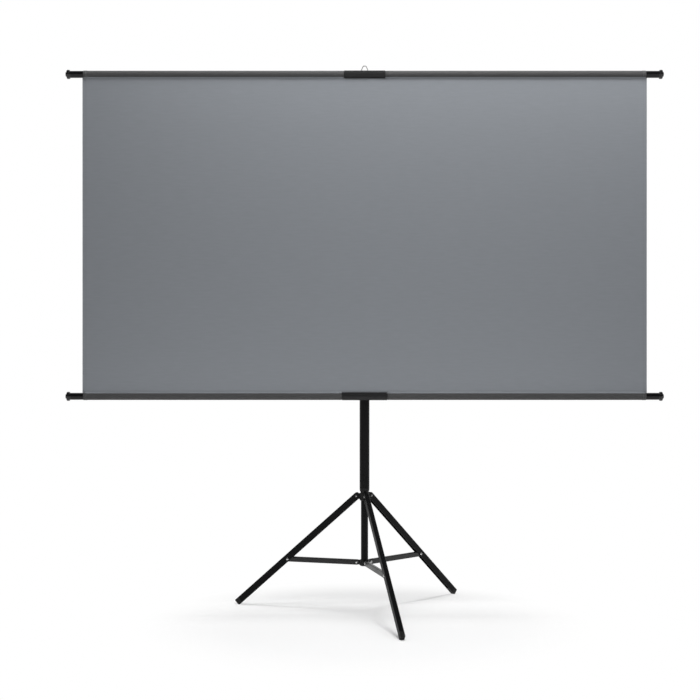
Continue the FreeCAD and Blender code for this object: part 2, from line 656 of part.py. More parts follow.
def tripod_pieces():
    """Three legs with their feet and rivets, and the three braces."""
    pieces = {}
    floor_size = 4 * LEG_LENGTH
    under_floor = box((-floor_size, -floor_size, -floor_size), (floor_size, floor_size, 0))
    leg_pin = moved(through_rivet(LEG_WIDTH / 2), BRACE_PIN_ALONG, 0, -BRACE_PIN_DROP)
    for name, azimuth in LEG_AZIMUTHS.items():
        pieces["leg_" + name] = place_on_leg(leg(), azimuth)
        pieces["foot_" + name] = place_on_leg(foot(), azimuth).cut(under_floor)
        pieces["brace_" + name] = place_on_brace(brace(), azimuth)
        pieces["brace_rivet_" + name] = place_on_leg(leg_pin, azimuth)
        pieces["collar_rivet_" + name] = place_on_leg(collar_rivet_pair(), azimuth)
    return pieces


def mast_pieces():
    """Base tube, post, upper sections, clamps and bushes."""
    return {
        "base_tube": mast_tube(BASE_TUBE_OD, BASE_TUBE_WALL, base_tube_bottom, BASE_TUBE_TOP),
        "leg_collar": leg_collar(),
        "center_post": mast_tube(POST_OD, TUBE_WALL, post_bottom, post_top),
        "post_guide": guide_ring(POST_OD, base_tube_id, post_top - GUIDE_LENGTH),
        "spreader_hub": spreader_hub(),
        "hub_rivets": hub_rivets(),
        "mid_tube": mast_tube(MID_TUBE_OD, TUBE_WALL, mid_tube_bottom, MID_TUBE_TOP),
        "mid_guide": guide_ring(MID_TUBE_OD, base_tube_id, mid_tube_bottom),
        "top_tube": mast_tube(TOP_TUBE_OD, TUBE_WALL, top_tube_bottom, top_tube_top),
        "top_guide": guide_ring(TOP_TUBE_OD, mid_tube_id, top_tube_bottom),
        "base_lock_collar": clamp_collar(BASE_TUBE_OD, MID_TUBE_OD, BASE_TUBE_TOP),
        "base_lock_screw": clamp_screw(BASE_TUBE_OD, MID_TUBE_OD, BASE_TUBE_TOP),
        "base_lock_knob": wing_knob(BASE_TUBE_OD, BASE_TUBE_TOP),
        "mid_lock_collar": clamp_collar(MID_TUBE_OD, TOP_TUBE_OD, MID_TUBE_TOP),
        "mid_lock_screw": clamp_screw(MID_TUBE_OD, TOP_TUBE_OD, MID_TUBE_TOP),
        "mid_lock_knob": wing_knob(MID_TUBE_OD, MID_TUBE_TOP),
    }


def main():
    """Build every piece, write it out and print the sizes that the joints need."""
    pieces = {}
    pieces.update(mast_pieces())
    pieces.update(tripod_pieces())
    pieces.update(screen_rods())
    pieces.update(screen_cloth())
    pieces["upper_joiner"] = upper_joiner()
    pieces["lower_joiner"] = lower_joiner()
    pieces["hanging_eye"] = eye_wire(EYE_WIRE / 2)
    os.makedirs("parts", exist_ok=True)
    for name, shape in pieces.items():
        if not shape.isValid():
            print("not valid:", name)
        shape.exportStep("parts/" + name + ".step")
    print("pieces", len(pieces))
    print("collar pivot height", round(collar_z, 4), "hub pivot height", round(hub_z, 4))
    print("brace pin reach", round(PIVOT_RADIUS + brace_reach, 4), "brace length", round(brace_reach, 4))
    print("fold travel", round(fold_travel, 4), "brace lift", round(math.degrees(brace_lift), 4))
    print("upper rod height", round(upper_rod_z, 4), "rod end", round(rod_end, 4))
    print("post", round(post_bottom, 3), round(post_top, 3), "mid tube from", round(mid_tube_bottom, 3))


main()
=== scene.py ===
# %% [markdown]
# # A projection screen on a folding tripod
#
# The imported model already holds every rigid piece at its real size: tubes, channel legs, rivets,
# joiners and caps. This lesson gives those pieces their finishes, sews the soft pieces (cloth,
# sleeves, seams and stitches) as meshes of their own, and sets a studio around them. The frame
# comes first, because every new piece takes its place and size from it.

import json
import math

import bmesh
import bpy
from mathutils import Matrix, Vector, noise


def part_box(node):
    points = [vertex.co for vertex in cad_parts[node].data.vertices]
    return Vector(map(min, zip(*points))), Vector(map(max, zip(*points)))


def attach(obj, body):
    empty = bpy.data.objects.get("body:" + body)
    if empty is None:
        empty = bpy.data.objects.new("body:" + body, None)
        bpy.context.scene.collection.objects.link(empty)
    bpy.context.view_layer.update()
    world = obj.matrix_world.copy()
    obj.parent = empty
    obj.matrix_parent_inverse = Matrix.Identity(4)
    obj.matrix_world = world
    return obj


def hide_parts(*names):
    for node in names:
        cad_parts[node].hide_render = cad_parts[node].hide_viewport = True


MM = 0.001                       # one millimetre, in the scene's metres

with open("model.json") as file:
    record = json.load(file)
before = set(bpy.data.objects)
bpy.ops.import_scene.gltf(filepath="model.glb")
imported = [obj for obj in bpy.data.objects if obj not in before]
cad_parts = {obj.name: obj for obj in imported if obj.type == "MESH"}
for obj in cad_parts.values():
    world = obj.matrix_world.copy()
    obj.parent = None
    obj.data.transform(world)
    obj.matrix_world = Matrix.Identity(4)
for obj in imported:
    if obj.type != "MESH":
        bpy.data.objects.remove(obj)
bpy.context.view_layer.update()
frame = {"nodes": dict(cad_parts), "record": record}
nodes = frame["nodes"]
print("pieces in the frame:", len(nodes))

# %% [markdown]
# ## The photographer's place
#
# A photograph fixes the camera better than taste does. It could be set by eye, but the feet and the
# rivets of the tripod agree with one level camera only, a little to the left of the mast and lower
# than the screen's middle, so its place was worked out from them. A level camera keeps upright lines
# upright, and no shift is needed.

# %% Camera
CAMERA_DISTANCE = 3.104          # in front of the mast's axis
CAMERA_HEIGHT = 0.620
CAMERA_SIDE = -0.0345            # left of the mast's axis
CAMERA_LENS = 67.2               # millimetres, on the default 36 mm sensor

camera_data = bpy.data.cameras.new("studio_camera")
camera_data.lens = CAMERA_LENS
camera = bpy.data.objects.new("studio_camera", camera_data)
camera.location = (CAMERA_SIDE, -CAMERA_DISTANCE, CAMERA_HEIGHT)
camera.rotation_euler = (math.pi / 2, 0.0, 0.0)
bpy.context.scene.collection.objects.link(camera)
bpy.context.scene.camera = camera
print("camera lens", CAMERA_LENS, "mm at", tuple(round(c, 3) for c in camera.location))

# %% [markdown]
# ## White studio
#
# The object stands on a white page. A bright world would give that too, but it would also pour light
# on the object. So Light Path keeps two things apart: the camera sees pure white, and the world as a
# light source is dimmer. Reflections see the white page behind the object and a dark room on the
# photographer's side, which is why black pieces stay black in front and get a paler rim.

# %% World
WHITE = (1.0, 1.0, 1.0, 1.0)
WORLD_LIGHT = 0.34               # strength as a light source
ROOM_REFLECTION = 0.05           # how bright reflections see the room in front
ROOM_ENDS = -0.05                # Y of a direction, up to which reflections see the room
PAGE_BEGINS = 0.70               # and from which they see the white page


def add_node(tree, kind, values=None, **settings):
    """New node with its settings, and then its inputs by name or number."""
    made = tree.nodes.new(kind)
    for name, setting in settings.items():
        setattr(made, name, setting)
    for socket, value in (values or {}).items():
        made.inputs[socket].default_value = value
    return made


def wire(tree, *links):
    """Join nodes; a link names a node, its output, the next node and that one's input."""
    for source, output, target, entry in links:
        tree.links.new(source.outputs[output], target.inputs[entry])


def seen_in_mirrors(tree, rays):
    """Node that gives 1 for rays that come by a reflection or through glass."""
    mirror = add_node(tree, "ShaderNodeMath", operation="MAXIMUM")
    wire(tree,
         (rays, "Is Glossy Ray", mirror, 0),
         (rays, "Is Transmission Ray", mirror, 1))
    return mirror


def white_studio():
    """World that is a white page to the camera and a studio to reflections."""
    world = bpy.data.worlds.new("white_studio")
    world.use_nodes = True
    bpy.context.scene.world = world
    sky = world.node_tree
    sky.nodes.clear()
    rays = add_node(sky, "ShaderNodeLightPath")
    mirror = seen_in_mirrors(sky, rays)
    place = add_node(sky, "ShaderNodeTexCoord")
    apart = add_node(sky, "ShaderNodeSeparateXYZ")
    room = add_node(sky, "ShaderNodeMapRange",
                    {"From Min": ROOM_ENDS, "From Max": PAGE_BEGINS, "To Min": ROOM_REFLECTION},
                    interpolation_type="SMOOTHSTEP")
    lit = add_node(sky, "ShaderNodeMix", {"A": WORLD_LIGHT}, data_type="FLOAT")
    shown = add_node(sky, "ShaderNodeMix", {"B": 1.0}, data_type="FLOAT")
    glow = add_node(sky, "ShaderNodeBackground", {"Color": WHITE})
    out = add_node(sky, "ShaderNodeOutputWorld")
    wire(sky,
         (place, "Generated", apart, 0),
         (apart, "Y", room, "Value"),
         (mirror, 0, lit, "Factor"),
         (room, "Result", lit, "B"),
         (lit, "Result", shown, "A"),
         (rays, "Is Camera Ray", shown, "Factor"),
         (shown, "Result", glow, "Strength"),
         (glow, "Background", out, "Surface"))


white_studio()
print("world light", WORLD_LIGHT, "and room reflection", ROOM_REFLECTION)

# %% [markdown]
# The floor is a pale matt plane that keeps the soft shadows. A floor that just ends would draw a
# horizon, so with growing distance from a point near the tripod it turns into the same white page.
# Light Path keeps that to the camera and to reflections: to all other light it is a painted floor.

# %% Floor
FLOOR_SIZE = 40.0
FLOOR_COLOUR = (0.95, 0.95, 0.95, 1.0)
FLOOR_MIDDLE = (0.0, -0.12, 0.0)  # middle of the part that keeps shadows
SHADOW_RADIUS = 0.26             # painted floor up to here
PAGE_RADIUS = 0.52               # white page from here on
FLOOR_PAGE = 0.05                # share of the white page right under the tripod


def floor_paint():
    """Pale matt paint that fades to the white page away from the object."""
    paint = bpy.data.materials.new("studio_floor")
    paint.use_nodes = True
    tree = paint.node_tree
    tree.nodes.clear()
    place = add_node(tree, "ShaderNodeTexCoord")
    centre = add_node(tree, "ShaderNodeVectorMath", {1: FLOOR_MIDDLE}, operation="SUBTRACT")
    distance = add_node(tree, "ShaderNodeVectorMath", operation="LENGTH")
    fade = add_node(tree, "ShaderNodeMapRange",
                    {"From Min": SHADOW_RADIUS, "From Max": PAGE_RADIUS, "To Min": FLOOR_PAGE},
                    interpolation_type="SMOOTHSTEP")
    rays = add_node(tree, "ShaderNodeLightPath")
    mirror = seen_in_mirrors(tree, rays)
    seen = add_node(tree, "ShaderNodeMath", operation="MAXIMUM")
    blend = add_node(tree, "ShaderNodeMath", operation="MULTIPLY")
    matt = add_node(tree, "ShaderNodeBsdfDiffuse", {"Color": FLOOR_COLOUR})
    page = add_node(tree, "ShaderNodeEmission", {"Color": WHITE})
    mix = add_node(tree, "ShaderNodeMixShader")
    out = add_node(tree, "ShaderNodeOutputMaterial")
    wire(tree,
         (place, "Object", centre, 0),
         (centre, "Vector", distance, 0),
         (distance, "Value", fade, "Value"),
         (fade, "Result", blend, 0),
         (rays, "Is Camera Ray", seen, 0),
         (mirror, 0, seen, 1),
         (seen, 0, blend, 1),
         (blend, 0, mix, "Fac"),
         (matt, "BSDF", mix, 1),
         (page, "Emission", mix, 2),
         (mix, "Shader", out, "Surface"))
    return paint


half = FLOOR_SIZE / 2
floor_mesh = bpy.data.meshes.new("studio_floor")
floor_mesh.from_pydata([(-half, -half, 0), (half, -half, 0), (half, half, 0), (-half, half, 0)],
                       [], [(0, 1, 2, 3)])
floor_mesh.materials.append(floor_paint())
floor = bpy.data.objects.new("studio_floor", floor_mesh)
bpy.context.scene.collection.objects.link(floor)
print("floor keeps shadows up to", SHADOW_RADIUS, "m and is white from", PAGE_RADIUS, "m")

# %% [markdown]
# Sun or point lamps draw hard shadows, so the lamps here are soft boxes: area lamps, whose size sets
# how soft a shadow is. A small one and a large one overhead give the legs' shadows, darker where a
# leg meets the floor and blurred further off. A key lamp at the front right lights the whole object.
# A long one close to the cloth washes its top, and a low narrow one lifts its lower edge. Only the
# key lamp shows in reflections, so that the black pieces get one clear highlight.

# %% Lamps
OVERHEAD = (0.0, 0.0, 2.6)
UNDER_MAST = (0.0, 0.0, 0.0)


def soft_box(name, place, target, size, power, mirrored=False, spread=180.0):
    """Rectangular area lamp aimed at a point; mirrored tells whether reflections show it."""
    lamp = bpy.data.lights.new(name, "AREA")
    lamp.shape = "RECTANGLE"
    lamp.size, lamp.size_y = size
    lamp.energy = power
    lamp.spread = math.radians(spread)
    box = bpy.data.objects.new(name, lamp)
    box.location = place
    box.visible_glossy = mirrored
    aim = Vector(target) - Vector(place)
    box.rotation_euler = aim.to_track_quat("-Z", "Y").to_euler()
    bpy.context.scene.collection.objects.link(box)


soft_box("top_soft_box", place=OVERHEAD, target=UNDER_MAST, size=(0.4, 0.22), power=21.0)
soft_box("sky_soft_box", place=OVERHEAD, target=UNDER_MAST, size=(1.6, 1.6), power=19.5)
soft_box("key_soft_box", place=(0.45, -1.8, 2.2), target=(0.0, 0.0, 1.0), size=(0.8, 0.45),
         power=3.2, mirrored=True)
soft_box("cloth_soft_box", place=(0.32, -0.46, 1.72), target=(0.28, 0.0, 1.28), size=(1.8, 0.2),
         power=8.4)
soft_box("low_soft_box", place=(0.0, -0.60, 0.10), target=(0.0, 0.0, 0.50), size=(1.5, 0.15),
         power=0.95, spread=95.0)
bpy.context.scene.view_settings.view_transform = "Standard"
print("soft boxes:", [lamp.name for lamp in bpy.data.lights])

# %% [markdown]
# ## Shared surface effects
#
# No real surface is even. Powder coat, moulded plastic and rubber have a fine grain: their gloss
# wanders a little, and light catches tiny bumps. An image texture could show that, but noise needs no
# picture and has no seams. It is built once, as a shader group with named inputs, and every hard
# finish places it with its own values.

# %% Fine grain
def new_group(name, inputs, outputs):
    """Shader group whose inputs and outputs are plain numbers."""
    tree = bpy.data.node_groups.new(name, "ShaderNodeTree")
    for label, value in inputs.items():
        socket = tree.interface.new_socket(label, in_out="INPUT", socket_type="NodeSocketFloat")
        socket.default_value = value
    for label in outputs:
        tree.interface.new_socket(label, in_out="OUTPUT", socket_type="NodeSocketFloat")
    return tree, add_node(tree, "NodeGroupInput"), add_node(tree, "NodeGroupOutput")


def grain_group():
    """Fine grain: a roughness that wanders between two values, and a height for a Bump node."""
    tree, given, result = new_group(
        "fine_grain", {"Scale": 900.0, "Smoothest": 0.3, "Roughest": 0.5}, ("Roughness", "Height"))
    place = add_node(tree, "ShaderNodeTexCoord")
    fine = add_node(tree, "ShaderNodeTexNoise", {"Detail": 2.0})
    broad = add_node(tree, "ShaderNodeTexNoise", {"Scale": 14.0, "Detail": 4.0})
    spread = add_node(tree, "ShaderNodeMapRange", {"From Min": 0.3, "From Max": 0.7})
    wire(tree,
         (place, "Object", fine, "Vector"),
         (place, "Object", broad, "Vector"),
         (given, "Scale", fine, "Scale"),
         (broad, "Fac", spread, "Value"),
         (given, "Smoothest", spread, "To Min"),
         (given, "Roughest", spread, "To Max"),
         (spread, "Result", result, "Roughness"),
         (fine, "Fac", result, "Height"))
    return tree


GRAIN = grain_group()
print(GRAIN.name, "with", len(GRAIN.nodes), "nodes")

# %% [markdown]
# Hands and bags leave dull, slightly greyer patches on such a stand. They could be painted by hand,
# but a noise with many layers, cut off so that only its peaks stay, gives patches of all sizes.
# Cover says how much of the surface they take.

# %% Handling marks
def marks_group():
    """Handling marks: a patchy mask from 0 to 1, mostly 0."""
    tree, given, result = new_group("handling_marks", {"Scale": 30.0, "Cover": 0.35}, ("Mask",))
    place = add_node(tree, "ShaderNodeTexCoord")
    patch = add_node(tree, "ShaderNodeTexNoise", {"Detail": 8.0, "Roughness": 0.7})
    level = add_node(tree, "ShaderNodeMath", {0: 1.0}, operation="SUBTRACT")
    mask = add_node(tree, "ShaderNodeMapRange", {"From Max": 0.95}, interpolation_type="SMOOTHSTEP")
    wire(tree,
         (place, "Object", patch, "Vector"),
         (given, "Scale", patch, "Scale"),
         (given, "Cover", level, 1),
         (patch, "Fac", mask, "Value"),
         (level, 0, mask, "From Min"),
         (mask, "Result", result, "Mask"))
    return tree


MARKS = marks_group()
print(MARKS.name, "with", len(MARKS.nodes), "nodes")

# %% [markdown]
# Paint wears thin on edges first, and rounded edges catch a thin highlight. Real bevels on every
# channel would cost many faces, so the Bevel node rounds the normals in the shader only. Where the
# rounded normal leaves the plain one there is an edge, and a noise breaks the mask up, as wear never
# follows a whole edge. The mask lightens the edges' colour: partly wear, partly a painted highlight.

# %% Edge wear and painted edge highlight
def edge_wear_and_highlight_group():
    """Edge wear and painted edge highlight: a mask along sharp edges, broken up by noise."""
    tree, given, result = new_group("edge_wear_and_highlight", {"Width": 0.8 * MM, "Breaks": 140.0}, ("Mask",))
    rounded = add_node(tree, "ShaderNodeBevel", samples=4)
    plain = add_node(tree, "ShaderNodeNewGeometry")
    agreement = add_node(tree, "ShaderNodeVectorMath", operation="DOT_PRODUCT")
    turned = add_node(tree, "ShaderNodeMapRange", {"From Min": 0.985, "From Max": 0.860})
    place = add_node(tree, "ShaderNodeTexCoord")
    broken = add_node(tree, "ShaderNodeTexNoise", {"Detail": 5.0})
    kept = add_node(tree, "ShaderNodeMapRange", {"From Min": 0.42, "From Max": 0.62},
                    interpolation_type="SMOOTHSTEP")
    mask = add_node(tree, "ShaderNodeMath", operation="MULTIPLY")
    wire(tree,
         (given, "Width", rounded, "Radius"),
         (rounded, "Normal", agreement, 0),
         (plain, "Normal", agreement, 1),
         (agreement, "Value", turned, "Value"),
         (place, "Object", broken, "Vector"),
         (given, "Breaks", broken, "Scale"),
         (broken, "Fac", kept, "Value"),
         (turned, "Result", mask, 0),
         (kept, "Result", mask, 1),
         (mask, 0, result, "Mask"))
    return tree


EDGE_WEAR_AND_HIGHLIGHT = edge_wear_and_highlight_group()
print(EDGE_WEAR_AND_HIGHLIGHT.name, "with", len(EDGE_WEAR_AND_HIGHLIGHT.nodes), "nodes")

# %% [markdown]
# Cloth is threads that pass over and under each other. Modelled threads would be millions of faces,
# so two crossed sine waves make the over and under as a height for a Bump node. Yarn is never even,
# and a noise stretched along the threads gives its thicker places. Both read a UV map in metres, so
# the threads have one size on every piece.

# %% Plain weave
def weave_group():
    """Plain weave: the threads' height from 0 to 1, and the yarn's unevenness."""
    tree, given, result = new_group("plain_weave", {"Thread Pitch": 0.9 * MM}, ("Height", "Slub"))
    cloth = add_node(tree, "ShaderNodeUVMap", uv_map="cloth")
    apart = add_node(tree, "ShaderNodeSeparateXYZ")
    rate = add_node(tree, "ShaderNodeMath", {0: math.tau}, operation="DIVIDE")
    crossing = add_node(tree, "ShaderNodeMath", operation="MULTIPLY")
    lifted = add_node(tree, "ShaderNodeMath", {1: 0.5, 2: 0.5}, operation="MULTIPLY_ADD")
    stretch = add_node(tree, "ShaderNodeMapping", {"Scale": (0.12, 1.0, 1.0)})
    slub = add_node(tree, "ShaderNodeTexNoise", {"Scale": 260.0, "Detail": 3.0})
    wire(tree,
         (cloth, "UV", apart, 0),
         (given, "Thread Pitch", rate, 1))
    for side, axis in enumerate(("X", "Y")):
        phase = add_node(tree, "ShaderNodeMath", operation="MULTIPLY")
        wave = add_node(tree, "ShaderNodeMath", operation="SINE")
        wire(tree,
             (apart, axis, phase, 0),
             (rate, 0, phase, 1),
             (phase, 0, wave, 0),
             (wave, 0, crossing, side))
    wire(tree,
         (crossing, 0, lifted, 0),
         (cloth, "UV", stretch, "Vector"),
         (stretch, "Vector", slub, "Vector"),
         (lifted, 0, result, "Height"),
         (slub, "Fac", result, "Slub"))
    return tree


WEAVE = weave_group()
print(WEAVE.name, "with", len(WEAVE.nodes), "nodes")

# %% [markdown]
# ## Finishes of the hard pieces
#
# Almost all of the stand is black, and black is hard to light: what we see of it is mostly
# reflection. One plain black would make one lump of it, so each kind of piece has its own gloss. The
# powder coat on tubes and legs is satin with a faint orange peel, the braces have a smoother lacquer,
# caps and bare rods are glossy, joiners are satin mouldings, and collars and knobs are grained ones.
# One function builds them all from the three shader groups for hard surfaces.

# %% Black finishes
MARK_SCALE = 26.0
# edge wear and the painted edge highlight both reach this far from an edge
EDGE_WIDTH = 0.8 * MM            # how far wear reaches from an edge
GRAIN_DEPTH = 0.2 * MM           # height of the grain's bumps


def new_material(name):
    """Material with its node tree and its Principled shader."""
    made = bpy.data.materials.new(name)
    made.use_nodes = True
    return made, made.node_tree, made.node_tree.nodes["Principled BSDF"]


def hard_finish(name, colour, worn, rough, grain, bump, cover,
                metallic=0.0, specular=0.5, edge_lift=2.2):
    """Painted, moulded or plated surface with grain, handling marks, and edges lightened by wear and a
    painted highlight.
    """
    made, tree, surface = new_material(name)
    smoothest, roughest = rough
    rubbed_and_highlit_colour = [edge_lift * channel for channel in worn]
    fine = add_node(tree, "ShaderNodeGroup",
                    {"Scale": grain, "Smoothest": smoothest, "Roughest": roughest}, node_tree=GRAIN)
    marks = add_node(tree, "ShaderNodeGroup", {"Scale": MARK_SCALE, "Cover": cover}, node_tree=MARKS)
    edges = add_node(tree, "ShaderNodeGroup", {"Width": EDGE_WIDTH}, node_tree=EDGE_WEAR_AND_HIGHLIGHT)
    tone = add_node(tree, "ShaderNodeMix", {"A": (*colour, 1.0), "B": (*worn, 1.0)}, data_type="RGBA")
    # the edges' lighter tone is partly wear and partly a painted highlight
    edge_wear_and_highlight_tone = add_node(tree, "ShaderNodeMix", {"B": (*rubbed_and_highlit_colour, 1.0)}, data_type="RGBA")
    relief = add_node(tree, "ShaderNodeBump", {"Strength": bump, "Distance": GRAIN_DEPTH})
    wire(tree,
         (marks, "Mask", tone, "Factor"),
         (edges, "Mask", edge_wear_and_highlight_tone, "Factor"),
         (tone, "Result", edge_wear_and_highlight_tone, "A"),
         (edge_wear_and_highlight_tone, "Result", surface, "Base Color"),
         (fine, "Roughness", surface, "Roughness"),
         (fine, "Height", relief, "Height"),
         (relief, "Normal", surface, "Normal"))
    surface.inputs["Metallic"].default_value = metallic
    surface.inputs["Specular IOR Level"].default_value = specular
    return made


SATIN_BLACK = hard_finish(
    "satin_black_powder_coat", colour=(0.0048, 0.0048, 0.0050), worn=(0.012, 0.012, 0.0125),
    rough=(0.36, 0.50), grain=700.0, bump=0.25, cover=0.40, specular=0.12)
LEG_BLACK = hard_finish(
    "leg_black_powder_coat", colour=(0.0044, 0.0044, 0.0047), worn=(0.012, 0.012, 0.0125),
    rough=(0.36, 0.50), grain=700.0, bump=0.25, cover=0.42, specular=0.10)
BRACE_BLACK = hard_finish(
    "brace_black_lacquer", colour=(0.0055, 0.0055, 0.0058), worn=(0.016, 0.016, 0.0165),
    rough=(0.28, 0.40), grain=700.0, bump=0.20, cover=0.44, specular=0.45)
GLOSS_BLACK = hard_finish(
    "gloss_black_moulding", colour=(0.007, 0.007, 0.0075), worn=(0.014, 0.014, 0.015),
    rough=(0.07, 0.16), grain=400.0, bump=0.06, cover=0.34)
ROD_BLACK = hard_finish(
    "rod_black_lacquer", colour=(0.005, 0.005, 0.0055), worn=(0.012, 0.012, 0.012),
    rough=(0.08, 0.16), grain=420.0, bump=0.06, cover=0.36, specular=0.25)
JOINER_BLACK = hard_finish(
    "satin_black_moulding", colour=(0.015, 0.015, 0.0155), worn=(0.024, 0.024, 0.024),
    rough=(0.34, 0.46), grain=900.0, bump=0.12, cover=0.40, specular=0.20)
MOULDED_BLACK = hard_finish(
    "grained_black_moulding", colour=(0.0065, 0.0065, 0.0066), worn=(0.016, 0.016, 0.016),
    rough=(0.44, 0.60), grain=1500.0, bump=0.55, cover=0.40, specular=0.24)
BLACKS = (SATIN_BLACK, LEG_BLACK, BRACE_BLACK, GLOSS_BLACK, ROD_BLACK, JOINER_BLACK, MOULDED_BLACK)
print("black finishes:", [finish.name for finish in BLACKS])

# %% [markdown]
# The feet are dull rubber, which dust turns grey. Rivets, screws and the hanging eye are steel with a
# bright zinc coat, a darker one on the three rivets at the collar. A plain grey could stand for it,
# but metal has its colour in its reflections, so Metallic is 1, and the worn tone is the darker one.

# %% Rubber and zinc
FOOT_RUBBER = hard_finish(
    "dull_black_rubber", colour=(0.013, 0.013, 0.013), worn=(0.045, 0.044, 0.042),
    rough=(0.62, 0.80), grain=900.0, bump=0.5, cover=0.50, specular=0.3)
BRIGHT_ZINC = hard_finish(
    "bright_zinc", colour=(0.66, 0.66, 0.65), worn=(0.46, 0.46, 0.45),
    rough=(0.20, 0.36), grain=600.0, bump=0.12, cover=0.42, metallic=1.0, edge_lift=1.5)
DARK_ZINC = hard_finish(
    "dark_zinc", colour=(0.30, 0.30, 0.30), worn=(0.22, 0.22, 0.22),
    rough=(0.20, 0.36), grain=600.0, bump=0.12, cover=0.42, metallic=1.0, edge_lift=1.5)
print("rubber and zinc:", [finish.name for finish in (FOOT_RUBBER, BRIGHT_ZINC, DARK_ZINC)])

# %% [markdown]
# The record names a material slot for every piece. Setting each piece's finish by hand would be a
# long list, so the slot picks it, and only the pieces that look unlike the rest of their slot have a
# finish of their own, which comes first. The meshes themselves stay as they are.

# %% Dress the hard pieces
SLOT_FINISHES = {
    "mast_paint": SATIN_BLACK,
    "leg_paint": LEG_BLACK,
    "moulded_black": MOULDED_BLACK,
    "gloss_black": GLOSS_BLACK,
    "rod_paint": ROD_BLACK,
    "rubber_foot": FOOT_RUBBER,
    "zinc_steel": BRIGHT_ZINC,
}
OWN_FINISHES = {"upper_joiner": JOINER_BLACK, "lower_joiner": JOINER_BLACK}
for way in ("front", "right", "left"):
    OWN_FINISHES["brace_" + way] = BRACE_BLACK
    OWN_FINISHES["collar_rivet_" + way] = DARK_ZINC
SLOT_OF = {entry["node"]: entry["material_slot"] for entry in frame["record"]["subparts"]}

dressed = 0
for name, piece in nodes.items():
    finish = OWN_FINISHES.get(name, SLOT_FINISHES.get(SLOT_OF[name]))
    if finish:
        piece.data.materials.clear()
        piece.data.materials.append(finish)
        dressed += 1
print("hard finishes on", dressed, "pieces")

# %% [markdown]
# ## Finishes of the cloth
#
# The screen is a coated cloth: matt, a cool mid grey, with a weave so fine that it shows only close
# up. The sleeves are a darker, coarser woven tape. A photo of cloth would repeat visibly over more
# than a metre, so the weave group makes the threads. The sewing thread is round and solid, so it has
# a hard finish with a very fine grain.

# %% Cloth finishes
WEAVE_DEPTH = 0.15 * MM          # height of the threads' bumps
CLOTH_SPECULAR = 0.25


def cloth_finish(name, colour, slub_colour, pitch, bump, rough, sheen):
    """Woven cloth: weave as bump, uneven yarn as colour."""
    made, tree, surface = new_material(name)
    weave = add_node(tree, "ShaderNodeGroup", {"Thread Pitch": pitch}, node_tree=WEAVE)
    tone = add_node(tree, "ShaderNodeMix", {"A": (*colour, 1.0), "B": (*slub_colour, 1.0)},
                    data_type="RGBA")
    relief = add_node(tree, "ShaderNodeBump", {"Strength": bump, "Distance": WEAVE_DEPTH})
    wire(tree,
         (weave, "Slub", tone, "Factor"),
         (tone, "Result", surface, "Base Color"),
         (weave, "Height", relief, "Height"),
         (relief, "Normal", surface, "Normal"))
    surface.inputs["Roughness"].default_value = rough
    surface.inputs["Sheen Weight"].default_value = sheen
    surface.inputs["Specular IOR Level"].default_value = CLOTH_SPECULAR
    return made


SCREEN_GREY = cloth_finish(
    "coated_screen_cloth", colour=(0.200, 0.213, 0.232), slub_colour=(0.224, 0.238, 0.258),
    pitch=0.8 * MM, bump=0.12, rough=0.62, sheen=0.0)
SEAM_GREY = cloth_finish(
    "seam_tape", colour=(0.200, 0.213, 0.231), slub_colour=(0.224, 0.237, 0.256),
    pitch=0.9 * MM, bump=0.25, rough=0.7, sheen=0.05)
SLEEVE_GREY = cloth_finish(
    "dark_sleeve_tape", colour=(0.050, 0.050, 0.051), slub_colour=(0.066, 0.066, 0.067),
    pitch=1.2 * MM, bump=0.45, rough=0.8, sheen=0.08)
THREAD_GREY = hard_finish(
    "sewing_thread", colour=(0.16, 0.165, 0.17), worn=(0.24, 0.245, 0.25),
    rough=(0.6, 0.75), grain=2500.0, bump=0.3, cover=0.5, specular=0.2, edge_lift=0.7)
print("cloth finishes:", [m.name for m in (SCREEN_GREY, SEAM_GREY, SLEEVE_GREY, THREAD_GREY)])

# %% [markdown]
# ## The screen cloth
#
# The cloth hangs between two rods and steps back round the joiner in the middle of each. It could be
# a cut-out plane with a modifier, but the steps need lines of points exactly at the joiners' ends. So
# a grid is planned first, from the places that the frame gives, with extra columns at those ends.

# %% Plan the cloth's grid
CELL = 11.0 * MM                 # grid spacing
JOINER_LIP = 0.8 * MM            # chamfer at the joiners' ends, which the cloth follows


def corners(node):
    """Lowest and highest corner of a CAD piece."""
    return [Vector(corner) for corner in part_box(node)]


def steps(low, high, spacing):
    """Evenly spaced values from low to high."""
    count = max(1, round((high - low) / spacing))
    return [low + (high - low) * i / count for i in range(count + 1)]


panel_low, panel_high = corners("screen_fabric")
cloth_plane = (panel_low.y + panel_high.y) / 2
cloth_thickness = panel_high.y - panel_low.y
UPPER_ROD = sum(corners("upper_rod_left"), Vector()) / 2
LOWER_ROD = sum(corners("lower_rod_left"), Vector()) / 2
UPPER_JOINER_END = corners("upper_joiner")[1].x
LOWER_JOINER_END = corners("lower_joiner")[1].x


def with_joiner_breaks(columns):
    """Columns with extra lines at the joiners' ends, so the cloth can step back there."""
    wanted = set(columns)
    for end in (UPPER_JOINER_END, LOWER_JOINER_END):
        for side in (-1, 1):
            wanted.update((side * end, side * (end - JOINER_LIP)))
    return sorted(wanted)


panel_columns = with_joiner_breaks(steps(panel_low.x, panel_high.x, CELL))
panel_rows = steps(panel_low.z, panel_high.z, CELL)
print("cloth grid:", len(panel_columns), "columns and", len(panel_rows), "rows")

# %% [markdown]
# The cloth is taut, so it is nearly flat, with a swell of about a millimetre that the eye reads as
# cloth and not as board. A cloth simulation would find nearly the same flat sheet at great cost, so a
# soft noise that dies out at the rods moves the grid. A second formula lifts or lowers the cloth's
# edge where a joiner stands.

